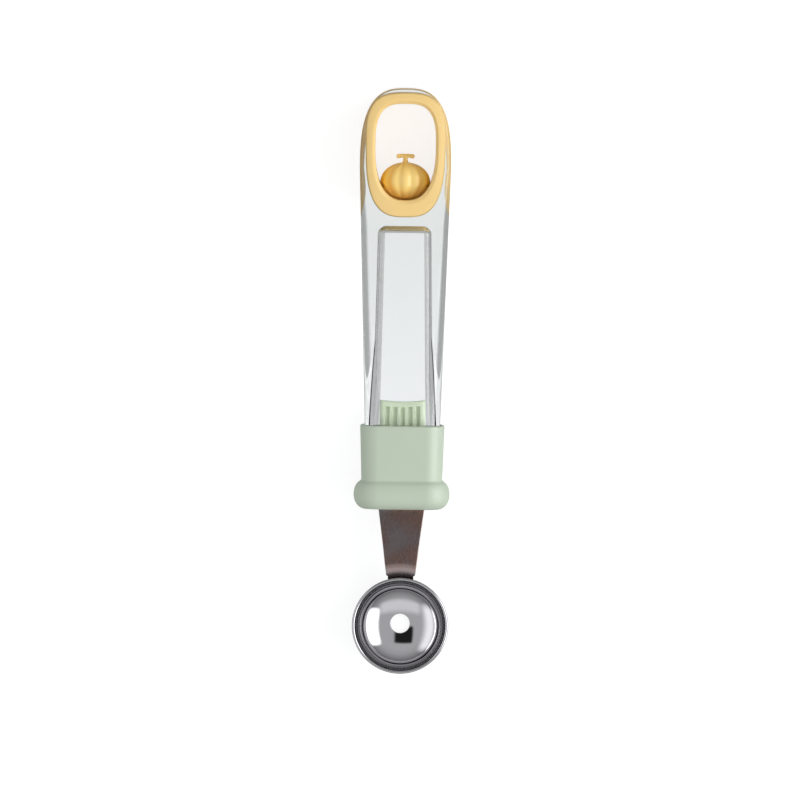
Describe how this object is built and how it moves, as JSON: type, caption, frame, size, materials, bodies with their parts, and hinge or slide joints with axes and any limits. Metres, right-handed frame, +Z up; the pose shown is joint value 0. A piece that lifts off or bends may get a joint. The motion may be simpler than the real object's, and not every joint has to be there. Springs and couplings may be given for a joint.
{
  "type": "melon baller",
  "caption": "Hand tool that scoops balls of melon: polished round scoop on a tapered shank, green collar with guard bead, hollow clear handle with a lined hanging window.",
  "frame": {"origin": "middle of the whole tool's box, on the table under it as it lies on its back", "axes": "+X to the right across the width, +Y along the tool from the scoop to the hanging end, +Z up out of the scoop's open side"},
  "size_m": [0.0288, 0.176, 0.0165],
  "materials": {
    "clear_plastic": "clear moulded plastic with polished faces",
    "yellow_plastic": "opaque pale yellow, satin",
    "amber_plastic": "opaque deep yellow, semi gloss",
    "green_plastic": "sage green, satin matt",
    "dark_green_plastic": "darker sage green, satin matt",
    "brushed_steel": "stainless strip, fine grain along its length",
    "polished_steel": "mirror polished stainless steel"
  },
  "bodies": {
    "handle": {"handle_body": "clear_plastic", "ring_front": "yellow_plastic", "ring_back": "yellow_plastic", "ornament": "amber_plastic"},
    "scoop_head": {"collar": "green_plastic", "plug": "dark_green_plastic", "shank": "brushed_steel", "bowl": "polished_steel"}
  },
  "joints": [
    {"name": "head_pull", "type": "slide", "parent": "handle", "child": "scoop_head", "axis": [0, -1, 0], "range_m": [0, 0.045]}
  ]
}
